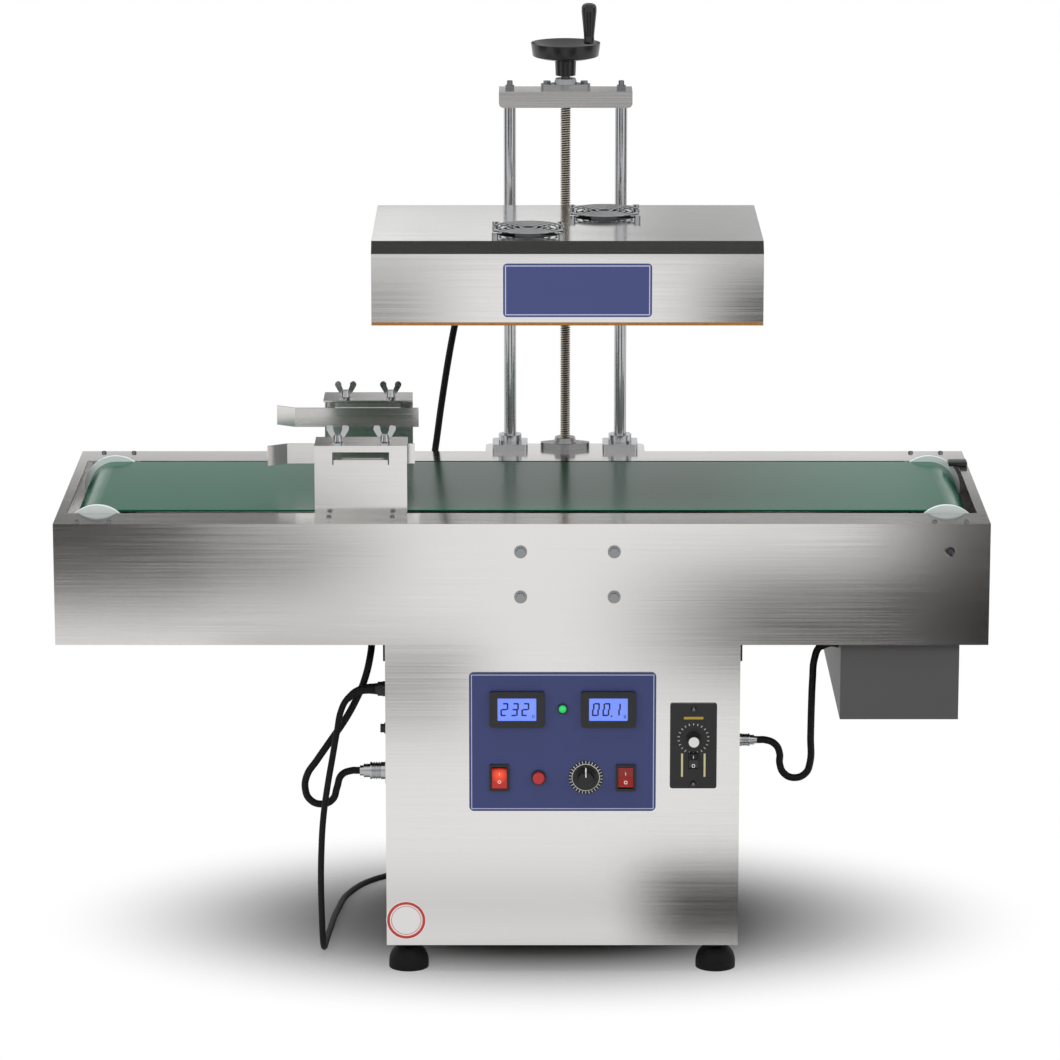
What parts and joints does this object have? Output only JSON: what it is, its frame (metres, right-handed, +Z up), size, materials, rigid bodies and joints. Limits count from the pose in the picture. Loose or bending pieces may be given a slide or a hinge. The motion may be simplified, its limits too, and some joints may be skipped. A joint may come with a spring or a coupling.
{
  "type": "induction cap sealer",
  "caption": "Bench induction sealer: a cabinet carries a belt conveyor with bottle guides, and a screw lift with a handwheel raises the induction head over the belt.",
  "frame": {"origin": "on the floor, under the middle of the bounding box without the mains lead", "axes": "+X along the conveyor to the right, +Y to the back, +Z up"},
  "size_m": [1.15, 0.498, 1.1683],
  "materials": {
    "stainless": "brushed sheet",
    "head_steel": "polished sheet",
    "chrome": "bright plated",
    "steel": "machined",
    "screw_steel": "oiled",
    "bronze": "machined",
    "black_rubber": "matt",
    "black_plastic": "satin",
    "red_plastic": "glossy",
    "panel_blue": "printed film",
    "belt_green": "glossy",
    "white_plastic": "satin",
    "grey_paint": "satin",
    "cast": "painted",
    "motor_alloy": "painted",
    "board_brown": "pressed board",
    "copper": "wound wire",
    "board_green": "circuit board"
  },
  "bodies": {
    "base": {"cabinet_shell": "stainless", "rear_cover": "stainless", "levelling_feet": "black_rubber", "control_panel": "panel_blue", "panel_meters": "black_plastic", "panel_fittings": "black_plastic", "speed_controller": "black_plastic", "side_fittings": "black_plastic", "cable_connectors": "chrome", "inverter_board": "board_green", "front_channel": "stainless", "rear_channel": "stainless", "end_plates": "stainless", "belt_bed": "stainless", "tie_bars": "steel", "belt": "belt_green", "bearing_blocks": "cast", "motor_box": "grey_paint", "gear_motor": "motor_alloy", "drive_belt": "black_rubber", "post_shelf": "stainless", "post_flanges": "chrome", "posts": "chrome", "crossbar": "stainless", "screw_bearings": "steel", "guide_brackets": "stainless", "mains_lead": "black_rubber", "mains_coil": "black_rubber", "mains_plug": "black_rubber", "motor_cable": "black_rubber", "head_cable": "black_rubber"},
    "drive_roller": {"drive_roller": "white_plastic", "drive_shaft": "steel"},
    "idler_roller": {"idler_roller": "white_plastic", "idler_shaft": "steel"},
    "motor_pulley": {"motor_pulley": "steel"},
    "handwheel": {"lead_screw": "screw_steel", "handwheel": "black_plastic"},
    "grip": {"grip": "black_plastic"},
    "head": {"head_hood": "head_steel", "head_board": "board_brown", "induction_coil": "copper", "carriage": "stainless", "lift_bushes": "bronze", "fan_frames": "black_plastic", "fan_guards": "chrome"},
    "left_rotor": {"left_rotor": "black_plastic"},
    "right_rotor": {"right_rotor": "black_plastic"},
    "front_guide": {"front_rail": "stainless"},
    "rear_guide": {"rear_rail": "stainless"},
    "front_wing_left": {"front_wing_left": "chrome"},
    "front_wing_right": {"front_wing_right": "chrome"},
    "rear_wing_left": {"rear_wing_left": "chrome"},
    "rear_wing_right": {"rear_wing_right": "chrome"},
    "power_rocker": {"power_rocker": "red_plastic"},
    "start_rocker": {"start_rocker": "red_plastic"},
    "run_rocker": {"run_rocker": "black_plastic"},
    "reset_button": {"reset_button": "red_plastic"},
    "power_knob": {"power_knob": "black_plastic"},
    "speed_knob": {"speed_knob": "black_plastic"}
  },
  "joints": [
    {"name": "handwheel_turn", "type": "hinge", "parent": "base", "child": "handwheel", "pos_m": [0.056, 0.204, 1.107], "axis": [0, 0, 1], "range_deg": [-12030, 14430]},
    {"name": "head_lift", "type": "slide", "parent": "base", "child": "head", "axis": [0, 0, 1], "range_m": [-0.1, 0.12], "deforming": ["head_cable"]},
    {"name": "grip_spin", "type": "hinge", "parent": "handwheel", "child": "grip", "pos_m": [0.08585, 0.18387, 1.127], "axis": [0, 0, 1], "continuous": true},
    {"name": "drive_spin", "type": "hinge", "parent": "base", "child": "drive_roller", "pos_m": [0.526, -0.033, 0.5497], "axis": [0, 1, 0], "continuous": true},
    {"name": "idler_spin", "type": "hinge", "parent": "base", "child": "idler_roller", "pos_m": [-0.526, -0.033, 0.5497], "axis": [0, 1, 0], "continuous": true},
    {"name": "motor_pulley_spin", "type": "hinge", "parent": "base", "child": "motor_pulley", "pos_m": [0.4685, 0.127, 0.3725], "axis": [0, 1, 0], "continuous": true},
    {"name": "left_fan_spin", "type": "hinge", "parent": "head", "child": "left_rotor", "pos_m": [0.008, -0.091, 0.902], "axis": [0, 0, 1], "continuous": true},
    {"name": "right_fan_spin", "type": "hinge", "parent": "head", "child": "right_rotor", "pos_m": [0.104, 0.037, 0.902], "axis": [0, 0, 1], "continuous": true},
    {"name": "front_guide_slide", "type": "slide", "parent": "base", "child": "front_guide", "axis": [0, 1, 0], "range_m": [-0.01, 0.016]},
    {"name": "rear_guide_slide", "type": "slide", "parent": "base", "child": "rear_guide", "axis": [0, -1, 0], "range_m": [-0.01, 0.016]},
    {"name": "front_wing_left_turn", "type": "hinge", "parent": "front_guide", "child": "front_wing_left", "pos_m": [-0.2275, -0.171, 0.67], "axis": [0, 0, 1], "continuous": true},
    {"name": "front_wing_right_turn", "type": "hinge", "parent": "front_guide", "child": "front_wing_right", "pos_m": [-0.1695, -0.171, 0.67], "axis": [0, 0, 1], "continuous": true},
    {"name": "rear_wing_left_turn", "type": "hinge", "parent": "rear_guide", "child": "rear_wing_left", "pos_m": [-0.2275, 0.105, 0.67], "axis": [0, 0, 1], "continuous": true},
    {"name": "rear_wing_right_turn", "type": "hinge", "parent": "rear_guide", "child": "rear_wing_right", "pos_m": [-0.1695, 0.105, 0.67], "axis": [0, 0, 1], "continuous": true},
    {"name": "power_rocker_tilt", "type": "hinge", "parent": "base", "child": "power_rocker", "pos_m": [-0.028, -0.224, 0.2545], "axis": [1, 0, 0], "range_deg": [-16, 0]},
    {"name": "start_rocker_tilt", "type": "hinge", "parent": "base", "child": "start_rocker", "pos_m": [0.129, -0.224, 0.2545], "axis": [1, 0, 0], "range_deg": [0, 16]},
    {"name": "run_rocker_tilt", "type": "hinge", "parent": "base", "child": "run_rocker", "pos_m": [0.213, -0.225, 0.2765], "axis": [1, 0, 0], "range_deg": [0, 16]},
    {"name": "reset_press", "type": "slide", "parent": "base", "child": "reset_button", "axis": [0, 1, 0], "range_m": [0, 0.003], "stiffness_N_per_m": 300},
    {"name": "power_knob_turn", "type": "hinge", "parent": "base", "child": "power_knob", "pos_m": [0.0794, -0.227, 0.2545], "axis": [0, -1, 0], "range_deg": [-135, 135]},
    {"name": "speed_knob_turn", "type": "hinge", "parent": "base", "child": "speed_knob", "pos_m": [0.213, -0.228, 0.3045], "axis": [0, -1, 0], "range_deg": [-135, 135]}
  ],
  "couplings": [
    {"joint": "handwheel_turn", "follows": "head_lift", "rad_per_m": 2094.4},
    {"joint": "idler_spin", "follows": "drive_spin", "ratio": 1},
    {"joint": "motor_pulley_spin", "follows": "drive_spin", "ratio": 1.3889}
  ]
}
